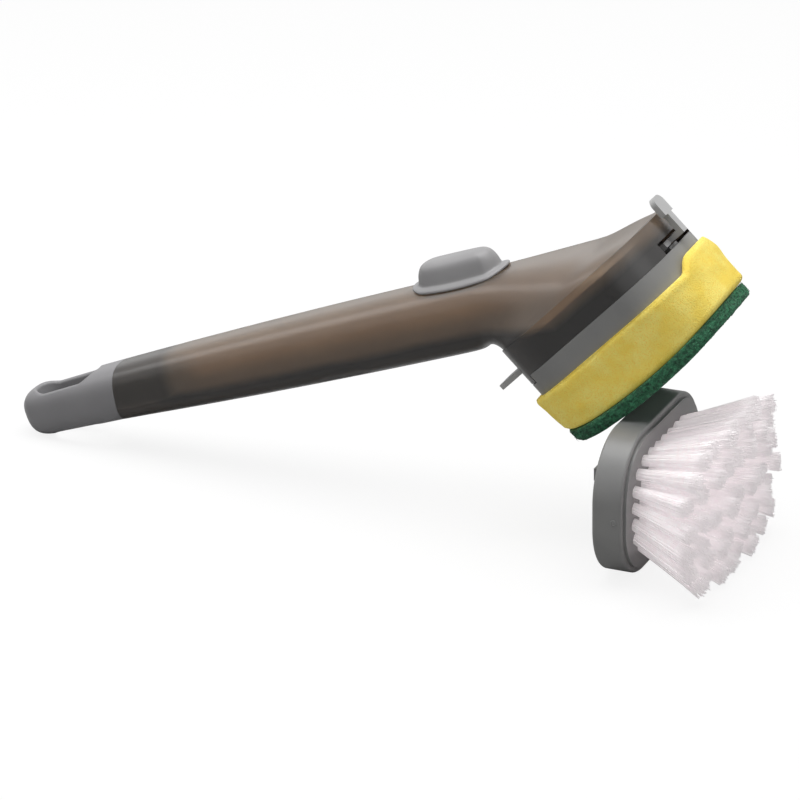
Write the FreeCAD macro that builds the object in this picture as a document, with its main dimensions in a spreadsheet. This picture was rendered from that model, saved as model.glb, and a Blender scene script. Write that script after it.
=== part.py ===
import FreeCAD, Part
import math
import os
import re
import Sketcher

# A soap-filled dish wand: a hollow flared handle with a tail cap, a pump button, an eject slide and a
# slide-on sponge head. The spare brush head stands under the wand's head and carries it.
# Handle frame: X runs from the tail to the head along the handle's axis, Z points to the button.
# Head frame: X runs along the head, Z points from the scouring face to the handle, zero at the rim.

doc = FreeCAD.newDocument("dish_wand")
sheet = doc.addObject("Spreadsheet::Sheet", "Sizes")

sizes = (
    # the whole arrangement, angles in degrees; a size with an equals sign follows the sizes it names
    ("handleIncline", 20.4),
    ("headTilt", 26.1),
    ("brushYaw", -2.7),
    ("splayNear", 30.4),
    ("splayFar", 16.3),
    ("splayUp", 18.0),
    ("splayDown", 13.5),
    ("slotDraft", 5.8),
    # general fits
    ("runningGap", 0.3),
    ("closeGap", 0.08),
    ("overrun", 5.0),
    # handle
    ("wallThickness", 2.0),
    ("seamPlace", 45.0),
    ("seamSlant", 11.0),
    ("seamHalfHeight", 10.6),
    ("neckPlace", 196.3),
    ("neckHalfHeight", 13.5),
    ("sideShare", 0.98),
    ("neckFillet", 5.4),
    # head skirt
    ("headHalfLength", 38.4),
    ("headHalfWidth", 26.5),
    ("headEndFlat", 4.5),
    ("headCorner", "=headHalfWidth - headEndFlat"),
    ("heelGap", 9.8),
    ("skirtHeight", 11.5),
    ("skirtWall", 2.4),
    ("skirtLap", 1.0),
    ("roofInset", 1.6),
    ("ledgeLap", 0.2),
    ("keyDepth", 3.3),
    ("keyLength", 8.0),
    # tail cap
    ("tailHalfHeight", 9.5),
    ("tailNose", 9.0),
    ("tailDrop", 0.8),
    ("slotPlace", 22.0),
    ("slotLength", 26.0),
    ("slotWidth", 11.0),
    ("slotRound", 1.2),
    ("socketWall", 2.2),
    ("socketRadius", "=seamHalfHeight - socketWall"),
    ("socketDepth", 17.0),
    ("plugLength", 25.0),
    ("plugStep", 1.9),
    ("plugNoseRadius", "=socketRadius - plugStep"),
    ("plugCollar", 12.0),
    ("plugBlend", 1.5),
    ("ringPlace", 7.0),
    ("ringThickness", 0.9),
    # pump button
    ("buttonBack", 2.3),
    ("buttonPlace", "=neckPlace - buttonBack"),
    ("flangeEnd", 1.5),
    ("flangeSide", 1.0),
    ("flangeThickness", 1.4),
    ("lipThickness", 1.2),
    ("lipOverlap", 2.0),
    ("boreLength", 32.0),
    ("boreWidth", 14.0),
    ("neckWall", 1.5),
    ("domeHeight", 8.5),
    ("domeSkirt", 3.2),
    ("domeWall", 1.5),
    ("domeRound", 6.0),
    # head base and valve
    ("baseThickness", 3.0),
    ("nozzleRadius", 4.2),
    ("nozzleEnd", 2.0),
    ("nozzleBore", 2.6),
    ("valveFlangeRadius", 4.8),
    ("valveSeat", 1.7),
    ("valveFlange", 0.8),
    ("valveStem", 3.6),
    ("valveTip", 1.1),
    ("retainerBore", 2.8),
    # slide-on rails
    ("railInner", 8.0),
    ("railWeb", 2.0),
    ("railLip", 2.5),
    ("railHeight", 4.5),
    ("railLipHeight", 1.5),
    ("railEndGap", 13.4),
    ("railReach", "=headHalfLength - railEndGap"),
    ("guideWeb", 2.5),
    # eject slide
    ("slideHalfWidth", 6.6),
    ("slideBottom", 1.5),
    ("slideThickness", 2.0),
    ("slideTravel", 5.0),
    ("tongueProud", 13.8),
    ("tongueReach", "=headHalfLength + tongueProud"),
    ("tabGap", 1.6),
    ("tabThickness", 2.2),
    ("tabReach", "=headHalfLength + tabGap + tabThickness"),
    ("tabHalfWidth", 3.7),
    ("tabHead", 7.5),
    ("stemHalfWidth", 1.8),
    ("tabTop", 17.5),
    ("tabRound", 3.0),
    ("lugInset", 7.9),
    ("lugPlace", "=headHalfLength - lugInset"),
    ("lugLength", 2.0),
    ("lugDrop", 1.3),
    ("ribHeight", 1.0),
    ("ribLength", 2.0),
    # sponge head
    ("plateThickness", 8.5),
    ("plateFloor", 3.0),
    ("plateWall", 2.6),
    ("plateRound", 1.0),
    ("bossRadius", 6.0),
    ("soapHoleRadius", 2.4),
    ("sealOuter", 4.0),
    ("spongeThickness", 19.2),
    ("spongeProud", 3.5),
    ("spongeSide", 1.2),
    ("spongeDrawIn", 2.0),
    ("padThickness", 5.1),
    ("padStart", 4.0),
    ("padProud", 1.0),
    ("padRound", 0.8),
    ("crownRadius", 240.0),
    ("crownPlace", 5.0),
    ("endLip", 6.0),
    ("endLipSlant", 38.0),
    # brush head
    ("brushThickness", 12.0),
    ("faceInset", 1.1),
    ("faceStep", 1.0),
    ("brushFloor", 8.6),
    ("tuftRadius", 2.1),
    ("tuftTipRadius", 3.5),
    ("tuftLength", 30.5),
    ("tuftRagged", 1.6),
    ("tuftRoot", 6.0),
    ("outerRowInset", 10.0),
    ("rowStep", 7.0),
    ("anchorThickness", 0.4),
    ("anchorHeight", 1.4),
    ("padContact", 0.3),
    ("brushSide", -14.0),
)
for row, (alias, amount) in enumerate(sizes, start=1):
    sheet.set("A%d" % row, str(amount))
    sheet.setAlias("A%d" % row, alias)
doc.recompute()


def bound(words):
    # an expression on the sheet, from plain words
    return re.sub(r"[A-Za-z]\w*", lambda found: "Sizes." + found.group(0), words)


def size(words):
    return float(sheet.evalExpression(bound(words)))


def vector(x, y, z):
    return FreeCAD.Vector(x, y, z)


# frames

def turned(axis, degrees):
    return FreeCAD.Rotation(axis, degrees)


axis_x = vector(1, 0, 0)
axis_y = vector(0, 1, 0)
axis_z = vector(0, 0, 1)
tilt = turned(axis_y, -size("headTilt"))
along_head = tilt.multVec(axis_x)
above_head = tilt.multVec(axis_z)
pivot = vector(size("neckPlace"), 0, -size("neckHalfHeight + neckFillet"))
head_centre = pivot + along_head * size("headHalfLength + heelGap") - above_head * size("skirtHeight")
head_in_handle = FreeCAD.Placement(head_centre, tilt)


# the handle's outer form and its offsets

section_points = 32
skin_degree = 3
grip_power = 3.0
roof_power = 3.6
widen_power = 2.3
square_power = 3.0
grip_steps = 14
cap_steps = 8
nose_shares = (0.04, 0.16, 0.34, 0.58, 1.0)
# shares of the turn from the handle's section to the roof, and the share where the roof starts to flare
turn_shares = (0.0, 0.2, 0.38, 0.54, 0.67, 0.78, 0.86, 0.917, 0.945, 0.972, 1.0)
flare_start_share = 0.917


def section(centre, upward, half_across, half_up, power):
    # points round an oval between an ellipse and a rectangle, in the plane of Y and upward
    points = []
    for step in range(section_points):
        angle = 2 * math.pi * step / section_points
        across = math.cos(angle)
        up = math.sin(angle)
        reach = (abs(across) ** power + abs(up) ** power) ** (-1 / power)
        points.append(centre + axis_y * (half_across * across * reach) + upward * (half_up * up * reach))
    return points


def skin(rows):
    # a smooth solid with the section points as poles, closed round and shut by two flat ends
    spans = len(rows) - skin_degree
    surface = Part.BSplineSurface()
    surface.buildFromPolesMultsKnots(
        rows,
        [skin_degree + 1] + [1] * (spans - 1) + [skin_degree + 1],
        [1] * (section_points + 1),
        list(range(spans + 1)),
        list(range(section_points + 1)),
        False,
        True,
        skin_degree,
        skin_degree,
    )
    side = surface.toShape()
    ends = [Part.Face(Part.Wire(edge)) for edge in side.Edges if edge.isClosed()]
    hull = Part.makeCompound([side] + ends)
    hull.sewShape()
    solid = Part.makeSolid(hull.Shells[0])
    if solid.Volume < 0:
        solid.reverse()
    return solid


def half_height(place):
    # the grip swells from the seam to the neck and slows down on the way, and narrows to the tail
    if place < size("seamPlace"):
        share = place / size("seamPlace")
        return size("tailHalfHeight") + (size("seamHalfHeight - tailHalfHeight")) * share
    share = (place - size("seamPlace")) / size("neckPlace - seamPlace")
    return size("seamHalfHeight") + size("neckHalfHeight - seamHalfHeight") * share * (2 - share)


def grip_section(place, inset, shrink=1.0):
    half = (half_height(place) - inset) * shrink
    drop = size("tailDrop") * max(0.0, 1 - place / size("seamPlace"))
    return section(vector(place, 0, -drop), axis_z, half * size("sideShare"), half, grip_power)


def fan_sections(inset):
    # planes that turn about the pivot below the neck, from the handle's section to the head's roof
    hinge = pivot - above_head * inset
    turn = 90 - size("headTilt")
    neck = size("neckHalfHeight") - inset
    low_start = -neck - hinge.z
    low_end = size("heelGap + roofInset") + inset
    crest = neck - hinge.z
    flare_start = crest / math.cos(math.radians(turn * flare_start_share))
    high_end = size("heelGap + 2 * headHalfLength - roofInset") - inset
    wide_start = neck * size("sideShare")
    wide_end = size("headHalfWidth - roofInset") - inset
    rows = []
    for share in turn_shares:
        angle = math.radians(turn * share)
        outward = vector(math.sin(angle), 0, math.cos(angle))
        low = low_start + (low_end - low_start) * share
        high = crest / math.cos(angle)
        if share > flare_start_share:
            flare_share = (share - flare_start_share) / (1 - flare_start_share)
            high = flare_start + (high_end - flare_start) * flare_share
        wide = wide_start + (wide_end - wide_start) * share ** widen_power
        power = grip_power + (roof_power - grip_power) * share ** square_power
        rows.append(section(hinge + outward * ((low + high) / 2), outward, wide, (high - low) / 2, power))
    return rows


def handle_form(inset, start):
    span = size("neckPlace") - start
    places = [start + span * step / grip_steps for step in range(grip_steps)]
    return skin([grip_section(place, inset) for place in places] + fan_sections(inset))


# outlines and plain solids

def outline(half_length, half_width, corner, height):
    # a closed wire of four lines and four quarter arcs
    straight_x = half_length - corner
    straight_y = half_width - corner
    diagonal = corner * math.sqrt(0.5)
    edges = []
    for quarter in range(4):
        spin = turned(axis_z, 90 * quarter)
        reach_x, reach_y = (straight_x, straight_y) if quarter % 2 == 0 else (straight_y, straight_x)
        start = vector(reach_x + corner, -reach_y, height)
        corner_start = vector(reach_x + corner, reach_y, height)
        corner_middle = vector(reach_x + diagonal, reach_y + diagonal, height)
        corner_end = vector(reach_x, reach_y + corner, height)
        points = [spin.multVec(point) for point in (start, corner_start, corner_middle, corner_end)]
        edges.append(Part.LineSegment(points[0], points[1]).toShape())
        edges.append(Part.Arc(points[1], points[2], points[3]).toShape())
    return Part.Wire(Part.__sortEdges__(edges))


def prism(wire, height):
    return Part.Face(wire).extrude(axis_z * height)


def stadium(length, width, bottom, height, place):
    # an upright prism with half-round ends
    half = (length - width) / 2
    middle = Part.makeBox(2 * half, width, height, vector(place - half, -width / 2, bottom))
    ends = [Part.makeCylinder(width / 2, height, vector(place + side * half, 0, bottom)) for side in (-1, 1)]
    return middle.multiFuse(ends).removeSplitter()


def behind_seam(gap):
    # everything on the tail's side of the slanted seam
    reach = size("seamPlace + overrun")
    block = Part.makeBox(reach, 2 * reach, 2 * reach, vector(-reach, -reach, -reach))
    block.Placement = FreeCAD.Placement(vector(size("seamPlace") - gap, 0, 0), turned(axis_y, size("seamSlant")))
    return block


# sketches and bodies

def origin_plane(body):
    return [plane for plane in body.Origin.OriginFeatures if plane.Role == "XY_Plane"][0]


def tie(sketch, kind, name, amount, *places):
    # a named dimension bound to the sheet
    index = sketch.addConstraint(Sketcher.Constraint(kind, *places, size(amount)))
    sketch.renameConstraint(index, name)
    sketch.setExpression("Constraints." + name, bound(amount))


def draw_rounded(sketch, mark, half_length, half_width, corner):
    length, width, radius = size(half_length), size(half_width), size(corner)
    first = sketch.GeometryCount
    inner_x, inner_y = length - radius, width - radius
    corners = ((inner_x, -inner_y, 270), (inner_x, inner_y, 0), (-inner_x, inner_y, 90), (-inner_x, -inner_y, 180))
    sides = (
        ((-inner_x, -width), (inner_x, -width)),
        ((length, -inner_y), (length, inner_y)),
        ((inner_x, width), (-inner_x, width)),
        ((-length, inner_y), (-length, -inner_y)),
    )
    for (start, end), (x, y, angle) in zip(sides, corners):
        sketch.addGeometry(Part.LineSegment(vector(*start, 0), vector(*end, 0)))
        circle = Part.Circle(vector(x, y, 0), axis_z, radius)
        sketch.addGeometry(Part.ArcOfCircle(circle, math.radians(angle), math.radians(angle + 90)))
    for step in range(8):
        sketch.addConstraint(Sketcher.Constraint("Tangent", first + step, 2, first + (step + 1) % 8, 1))
    for side, kind in enumerate(("Horizontal", "Vertical", "Horizontal", "Vertical")):
        sketch.addConstraint(Sketcher.Constraint(kind, first + 2 * side))
    for arc in (3, 5, 7):
        sketch.addConstraint(Sketcher.Constraint("Equal", first + 1, first + arc))
    tie(sketch, "Radius", mark + "Corner", corner, first + 1)
    tie(sketch, "DistanceX", mark + "Right", half_length, -1, 1, first + 2, 1)
    tie(sketch, "DistanceY", mark + "Top", half_width, -1, 1, first + 4, 1)
    tie(sketch, "DistanceX", mark + "Left", half_length, first + 6, 1, -1, 1)
    tie(sketch, "DistanceY", mark + "Bottom", half_width, first, 1, -1, 1)


def draw_box(sketch, mark, left, right, bottom, top):
    first = sketch.GeometryCount
    spots = ((left, bottom), (right, bottom), (right, top), (left, top))
    corners = [vector(size(x), size(y), 0) for x, y in spots]
    for step in range(4):
        sketch.addGeometry(Part.LineSegment(corners[step], corners[(step + 1) % 4]))
    for step in range(4):
        sketch.addConstraint(Sketcher.Constraint("Coincident", first + step, 2, first + (step + 1) % 4, 1))
    for side, kind in enumerate(("Horizontal", "Vertical", "Horizontal", "Vertical")):
        sketch.addConstraint(Sketcher.Constraint(kind, first + side))
    tie(sketch, "DistanceX", mark + "Left", left, -1, 1, first, 1)
    tie(sketch, "DistanceX", mark + "Right", right, -1, 1, first + 1, 1)
    tie(sketch, "DistanceY", mark + "Bottom", bottom, -1, 1, first, 1)
    tie(sketch, "DistanceY", mark + "Top", top, -1, 1, first + 2, 1)


def draw_disc(sketch, mark, radius):
    circle = sketch.addGeometry(Part.Circle(vector(0, 0, 0), axis_z, size(radius)))
    sketch.addConstraint(Sketcher.Constraint("Coincident", circle, 3, -1, 1))
    tie(sketch, "Radius", mark + "Radius", radius, circle)


def draw_pair(sketch, mark, left, right, inner, outer):
    # the same box on both sides of the middle plane
    draw_box(sketch, mark + "Far", left, right, inner, outer)
    draw_box(sketch, mark + "Near", left, right, "-(%s)" % outer, "-(%s)" % inner)


drawers = {"rounded": draw_rounded, "box": draw_box, "disc": draw_disc, "pair": draw_pair}


def slab(body, name, bottom, height, *shapes, cut=False):
    # a pad from the level bottom, or a pocket over the same levels
    sketch = body.newObject("Sketcher::SketchObject", body.Name + "_" + name + "_sketch")
    sketch.AttachmentSupport = [(origin_plane(body), "")]
    sketch.MapMode = "FlatFace"
    level = "(%s) + (%s)" % (bottom, height) if cut else bottom
    sketch.AttachmentOffset = FreeCAD.Placement(vector(0, 0, size(level)), FreeCAD.Rotation())
    sketch.setExpression("AttachmentOffset.Base.z", bound(level))
    for number, (kind, *amounts) in enumerate(shapes):
        drawers[kind](sketch, "shape%d" % number, *amounts)
    kind = "PartDesign::Pocket" if cut else "PartDesign::Pad"
    feature = body.newObject(kind, body.Name + "_" + name)
    feature.Profile = sketch
    feature.setExpression("Length", bound(height))
    doc.recompute()
    return feature


def new_body(name):
    body = doc.addObject("PartDesign::Body", name)
    body.Label = name
    return body


def round_edges(body, name, base, edges, radius):
    fillet = body.newObject("PartDesign::Fillet", body.Name + "_" + name)
    fillet.Base = (base, edges)
    fillet.setExpression("Radius", bound(radius))
    doc.recompute()
    return fillet


def edges_at(shape, chosen):
    return ["Edge%d" % number for number, edge in enumerate(shape.Edges, start=1) if chosen(edge)]


def flat_edges(shape, level):
    # edges that lie wholly in the plane at one height
    return edges_at(shape, lambda edge: max(abs(v.Z - level) for v in edge.Vertexes) < flat_tolerance)


flat_tolerance = size("closeGap") / 8
parts = {}
frames = {}


def keep(name, piece, frame, local=FreeCAD.Placement()):
    piece.Label = name
    parts[name] = piece
    frames[name] = (frame, local)


def feature(name, shape, frame):
    piece = doc.addObject("Part::Feature", name)
    piece.Shape = shape
    keep(name, piece, frame)


# handle shell

def skirt_prism(inset, bottom, top):
    wire = outline(
        size("headHalfLength") - inset,
        size("headHalfWidth") - inset,
        size("headCorner") - inset,
        bottom,
    )
    return prism(wire, top - bottom)


def in_handle(shape):
    moved = shape.copy()
    moved.Placement = head_in_handle.multiply(shape.Placement)
    return moved


def head_box(left, right, half_width, bottom, top):
    # a box across the head, from the middle plane to both sides
    corner = vector(left, -half_width, bottom)
    return Part.makeBox(right - left, 2 * half_width, top - bottom, corner)


ledge = "skirtHeight - wallThickness + ledgeLap"
slide_top = "slideBottom + slideThickness"
rail_outer = "railInner + railWeb + railLip"


def build_handle_shell():
    over = size("overrun")
    outer = handle_form(0, size("seamPlace - overrun")).cut(behind_seam(0))
    skirt = skirt_prism(0, 0, size("skirtHeight + skirtLap"))
    key_block = head_box(
        -size("headHalfLength + overrun"),
        -size("headHalfLength - keyLength"),
        size("headHalfWidth"),
        -size("keyDepth"),
        0,
    )
    key = skirt_prism(0, -size("keyDepth"), 0).common(key_block)
    solid = outer.multiFuse([in_handle(skirt), in_handle(key)])
    hollow = handle_form(size("wallThickness"), size("seamPlace + socketDepth"))
    pocket = skirt_prism(size("skirtWall"), -size("keyDepth + overrun"), size(ledge))
    socket_start = size("seamPlace - overrun")
    socket_length = size("socketDepth + overrun * 2")
    socket = Part.makeCylinder(size("socketRadius"), socket_length, vector(socket_start, 0, 0), axis_x)
    reach = size("headHalfLength + overrun")
    rail_gate = head_box(
        size("headHalfLength - skirtWall") - over,
        reach,
        size(rail_outer + " + runningGap"),
        -size("keyDepth"),
        size("railHeight + runningGap"),
    )
    tongue_gate = head_box(
        -reach,
        -size("headHalfLength - skirtWall") + over,
        size("slideHalfWidth + runningGap"),
        size("slideBottom - runningGap"),
        size(slide_top + " + runningGap"),
    )
    button_hole = stadium(
        size("boreLength + 2 * neckWall"),
        size("boreWidth + 2 * neckWall"),
        0,
        size("neckHalfHeight + overrun"),
        size("buttonPlace"),
    )
    gates = [in_handle(gate) for gate in (pocket, rail_gate, tongue_gate)]
    return solid.cut([hollow, socket, button_hole] + gates)


# tail cap with its plug and ring

def slot_wire(spread, level):
    # a line with half-round ends round the hang slot's middle
    radius = size("slotWidth / 2") + spread
    back = size("slotPlace - (slotLength - slotWidth) / 2")
    front = size("slotPlace + (slotLength - slotWidth) / 2")
    near = (vector(back, -radius, level), vector(front, -radius, level))
    far = (vector(front, radius, level), vector(back, radius, level))
    front_end = Part.Arc(near[1], vector(front + radius, 0, level), far[0])
    back_end = Part.Arc(far[1], vector(back - radius, 0, level), near[0])
    sides = [Part.makeLine(*near), front_end.toShape(), Part.makeLine(*far), back_end.toShape()]
    return Part.Wire(sides)


def hang_slot():
    # wider above than below
    tall = size("tailHalfHeight + overrun")
    spread = tall * math.tan(math.radians(size("slotDraft")))
    return Part.makeLoft([slot_wire(-spread, -tall), slot_wire(spread, tall)], True, True)


def on_slot_rim(edge, slot):
    # an edge round the slot's mouth, not one of the upright lines on its wall
    ends = [slot.distToShape(end)[0] for end in edge.Vertexes]
    spans = edge.BoundBox
    return max(ends) < flat_tolerance and spans.ZLength < spans.XLength + spans.YLength


def build_tail_cap():
    nose = [share * size("tailNose") for share in nose_shares]
    span = size("seamPlace + overrun - tailNose")
    body = [size("tailNose") + span * step / cap_steps for step in range(1, cap_steps + 1)]
    rows = []
    for place in nose + body:
        ahead = min(place / size("tailNose"), 1.0)
        rows.append(grip_section(place, 0, math.sqrt(1 - (1 - ahead) ** 2)))
    form = skin(rows).common(behind_seam(size("closeGap")))
    slot = hang_slot()
    form = form.cut(slot)
    rims = [edge for edge in form.Edges if on_slot_rim(edge, slot)]
    form = form.makeFillet(size("slotRound"), rims)
    collar = size("socketRadius - closeGap")
    root = size("seamPlace - overrun")
    plug = Part.makeCylinder(collar, size("plugCollar + overrun"), vector(root, 0, 0), axis_x)
    nose_start = size("seamPlace + plugCollar")
    nose_length = size("plugLength - plugCollar")
    nose_rod = Part.makeCylinder(size("plugNoseRadius"), nose_length, vector(nose_start, 0, 0), axis_x)
    tip = Part.makeCone(
        size("plugNoseRadius"),
        size("plugNoseRadius - plugBlend"),
        size("plugBlend"),
        vector(nose_start + nose_length, 0, 0),
        axis_x,
    )
    groove_start = size("seamPlace + ringPlace - ringThickness - closeGap")
    groove_length = size("2 * (ringThickness + closeGap)")
    groove_floor = size("socketRadius - 2 * ringThickness - 2 * closeGap")
    groove = Part.makeCylinder(size("socketRadius + overrun"), groove_length, vector(groove_start, 0, 0), axis_x)
    core = Part.makeCylinder(groove_floor, groove_length, vector(groove_start, 0, 0), axis_x)
    return form.multiFuse([plug, nose_rod, tip]).cut(groove.cut(core))


def build_cap_ring():
    ring = doc.addObject("Part::Torus", "cap_o_ring")
    ring.setExpression("Radius1", bound("socketRadius - ringThickness - closeGap"))
    ring.setExpression("Radius2", bound("ringThickness"))
    turn = turned(axis_y, 90)
    return ring, FreeCAD.Placement(vector(size("seamPlace + ringPlace"), 0, 0), turn)


# pump button

def build_grommet():
    start = size("seamPlace + socketDepth")
    flange_top = handle_form(-size("flangeThickness"), start)
    flange_bottom = handle_form(-size("closeGap"), start)
    lip_top = handle_form(size("wallThickness + closeGap"), start)
    lip_bottom = handle_form(size("wallThickness + closeGap + lipThickness"), start)
    tall = size("neckHalfHeight + overrun")
    place = size("buttonPlace")
    neck_length = size("boreLength + 2 * neckWall - 2 * closeGap")
    neck_width = size("boreWidth + 2 * neckWall - 2 * closeGap")
    lip_length = neck_length + size("2 * lipOverlap")
    lip_width = neck_width + size("2 * lipOverlap")
    flange_length = size("boreLength + 2 * (neckWall + flangeEnd)")
    flange_width = size("boreWidth + 2 * (neckWall + flangeSide)")
    flange = stadium(flange_length, flange_width, 0, tall, place)
    flange = flange.common(flange_top).cut(flange_bottom)
    neck = stadium(neck_length, neck_width, 0, tall, place).common(flange_top).cut(lip_bottom)
    lip = stadium(lip_length, lip_width, 0, tall, place).common(lip_top).cut(lip_bottom)
    bore = stadium(size("boreLength"), size("boreWidth"), 0, tall, place)
    return flange.multiFuse([neck, lip]).cut(bore)


def build_dome():
    length = size("boreLength - 2 * runningGap")
    width = size("boreWidth - 2 * runningGap")
    bottom = size("neckHalfHeight - domeSkirt")
    height = size("domeSkirt + domeHeight")
    place = size("buttonPlace")
    outside = stadium(length, width, bottom, height, place)
    crest = [edge for edge in outside.Edges if edge.BoundBox.ZMin > bottom + height - flat_tolerance]
    outside = outside.makeFillet(size("domeRound"), crest)
    wall = size("domeWall")
    inside = stadium(length - 2 * wall, width - 2 * wall, bottom - wall, height, place)
    crest = [edge for edge in inside.Edges if edge.BoundBox.ZMin > bottom + height - wall - flat_tolerance]
    inside = inside.makeFillet(size("domeRound - domeWall"), crest)
    return outside.cut(inside)


# head base, valve and eject slide

def build_head_base():
    body = new_body("head_base")
    base_bottom = "(%s) - baseThickness" % ledge
    half_length = "headHalfLength - skirtWall - closeGap"
    half_width = "headHalfWidth - skirtWall - closeGap"
    corner = "headCorner - skirtWall - closeGap"
    slab(body, "plate", base_bottom, "baseThickness", ("rounded", half_length, half_width, corner))
    guide_inner = rail_outer + " + runningGap"
    guide_outer = guide_inner + " + guideWeb"
    lip_inner = "railInner + railWeb + runningGap"
    low = "runningGap"
    lip_top = "railHeight - railLipHeight - runningGap"
    slab(body, "guides", low, "(%s) - runningGap" % base_bottom,
         ("pair", "-railReach", "railReach", guide_inner, guide_outer))
    slab(body, "guide_lips", low, "(%s) - runningGap" % lip_top,
         ("pair", "-railReach", "railReach", lip_inner, guide_outer))
    slab(body, "nozzle", "nozzleEnd", "(%s) - nozzleEnd" % base_bottom, ("disc", "nozzleRadius"))
    slab(body, "bore", "nozzleEnd", "(%s) - nozzleEnd" % ledge, ("disc", "nozzleBore"), cut=True)
    slab(body, "seat", "(%s) - valveSeat" % ledge, "valveSeat",
         ("disc", "valveFlangeRadius + closeGap"), cut=True)
    return body


def build_valve():
    body = new_body("soap_valve")
    seat = "(%s) - valveSeat" % ledge
    slab(body, "flange", seat, "valveFlange", ("disc", "valveFlangeRadius"))
    slab(body, "stem", "(%s) - valveStem" % seat, "valveStem", ("disc", "nozzleBore - closeGap"))
    stem = body.Tip
    tip = flat_edges(stem.Shape, size("(%s) - valveStem" % seat))
    bill = body.newObject("PartDesign::Chamfer", "soap_valve_bill")
    bill.Base = (stem, tip)
    bill.setExpression("Size", bound("valveTip"))
    doc.recompute()
    return body


def build_retainer():
    body = new_body("valve_retainer")
    bottom = "(%s) - valveSeat + valveFlange" % ledge
    slab(body, "ring", bottom, "valveSeat - valveFlange",
         ("disc", "valveFlangeRadius"), ("disc", "retainerBore"))
    return body


def build_seal():
    body = new_body("nozzle_seal")
    slab(body, "ring", "runningGap", "nozzleEnd - runningGap", ("disc", "sealOuter"), ("disc", "nozzleBore"))
    return body


def build_eject_slide():
    body = new_body("eject_slide")
    slot_half = "nozzleRadius + runningGap"
    strip_end = "headHalfLength - skirtWall - runningGap"
    slab(body, "strip", "slideBottom", "slideThickness",
         ("box", "-tongueReach", strip_end, "-slideHalfWidth", "slideHalfWidth"))
    slab(body, "neck", "slideBottom", "slideThickness",
         ("box", strip_end + " - ribLength", "tabReach", "-stemHalfWidth", "stemHalfWidth"))
    slab(body, "stem", "slideBottom", "tabTop - tabHead - slideBottom",
         ("box", "tabReach - tabThickness", "tabReach", "-stemHalfWidth", "stemHalfWidth"))
    slab(body, "tab", "tabTop - tabHead", "tabHead",
         ("box", "tabReach - tabThickness", "tabReach", "-tabHalfWidth", "tabHalfWidth"))
    slab(body, "lug", "slideBottom - lugDrop", "lugDrop",
         ("box", "lugPlace", "lugPlace + lugLength", "-tabHalfWidth", "tabHalfWidth"))
    slab(body, "slot", "slideBottom", "slideThickness",
         ("box", "-(%s) - slideTravel" % slot_half, slot_half, "-(%s)" % slot_half, slot_half), cut=True)
    top = size("tabTop")
    outer = size("tabReach")
    tip = edges_at(body.Tip.Shape, lambda edge: edge.BoundBox.ZMin > top - flat_tolerance
                   and edge.BoundBox.XLength > size("tabThickness") - flat_tolerance
                   and edge.BoundBox.XMax > outer - flat_tolerance)
    round_edges(body, "tab_round", body.Tip, tip, "tabRound")
    reach = -size("tongueReach")
    corners = edges_at(body.Tip.Shape, lambda edge: edge.BoundBox.XMax < reach + flat_tolerance
                       and edge.BoundBox.ZLength > size("slideThickness") - flat_tolerance)
    round_edges(body, "tongue_round", body.Tip, corners, "tabRound")
    return body


# sponge head

def add_mount(body, depth):
    # the hollow back that both heads share: slide-on rails, a push rib and a boss round the soap hole
    slab(body, "hollow", "-(%s)" % depth, depth,
         ("rounded", "headHalfLength - plateWall", "headHalfWidth - plateWall", "headCorner - plateWall"),
         cut=True)
    key_end = "-(headHalfLength - keyLength - runningGap)"
    key_side = "headHalfWidth + overrun"
    slab(body, "key_notch", "-(keyDepth + runningGap)", "keyDepth + runningGap",
         ("box", "-(headHalfLength + overrun)", key_end, "-(%s)" % key_side, key_side), cut=True)
    tall = "(%s) + railHeight" % depth
    slab(body, "rails", "-(%s)" % depth, tall,
         ("pair", "-railReach", "railReach", "railInner", "railInner + railWeb"))
    slab(body, "rail_lips", "railHeight - railLipHeight", "railLipHeight",
         ("pair", "-railReach", "railReach", "railInner", rail_outer))
    rib_start = "lugPlace + lugLength + runningGap"
    slab(body, "rib", "-(%s)" % depth, "(%s) + ribHeight" % depth,
         ("box", rib_start, rib_start + " + ribLength", "-tabHalfWidth", "tabHalfWidth"))
    slab(body, "boss", "-(%s)" % depth, depth, ("disc", "bossRadius"))


def build_sponge_plate():
    body = new_body("sponge_plate")
    slab(body, "plate", "-plateThickness", "plateThickness",
         ("rounded", "headHalfLength", "headHalfWidth", "headCorner"))
    add_mount(body, "plateThickness - plateFloor")
    slab(body, "soap_hole", "-plateThickness", "plateThickness", ("disc", "soapHoleRadius"), cut=True)
    return body


def layered(top, thickness, ahead, aside, levels):
    # a soft block lofted through rounded outlines at a few levels
    wires = []
    for level_share, inset in levels:
        wires.append(outline(
            size("headHalfLength") + ahead - inset,
            size("headHalfWidth") + aside - inset,
            size("headCorner"),
            top - thickness * level_share,
        ))
    return Part.makeLoft(wires, True, False)


def crown(level):
    # a wide roller whose lowest line lies at the level, to bow a face lengthwise
    reach = size("headHalfWidth + overrun")
    centre = vector(size("crownPlace"), -reach, level + size("crownRadius"))
    return Part.makeCylinder(size("crownRadius"), 2 * reach, centre, axis_y)


def end_lip():
    # the foam wells up round the plate's upper end
    top = -size("plateThickness") + size("endLip")
    ahead = size("headHalfLength + spongeProud")
    side = size("headHalfWidth + spongeSide")
    lip = prism(outline(ahead, side, size("headCorner"), -size("plateThickness")), size("endLip"))
    plate = prism(
        outline(
            size("headHalfLength + runningGap"),
            size("headHalfWidth + runningGap"),
            size("headCorner + runningGap"),
            -size("plateThickness"),
        ),
        size("endLip"),
    )
    reach = size("headHalfLength * 2")
    above = Part.makeBox(reach * 2, reach * 2, reach, vector(-reach * 2, -reach, 0))
    above.Placement = FreeCAD.Placement(vector(ahead, 0, top), turned(axis_y, -size("endLipSlant")))
    return lip.cut([plate, above])


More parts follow.
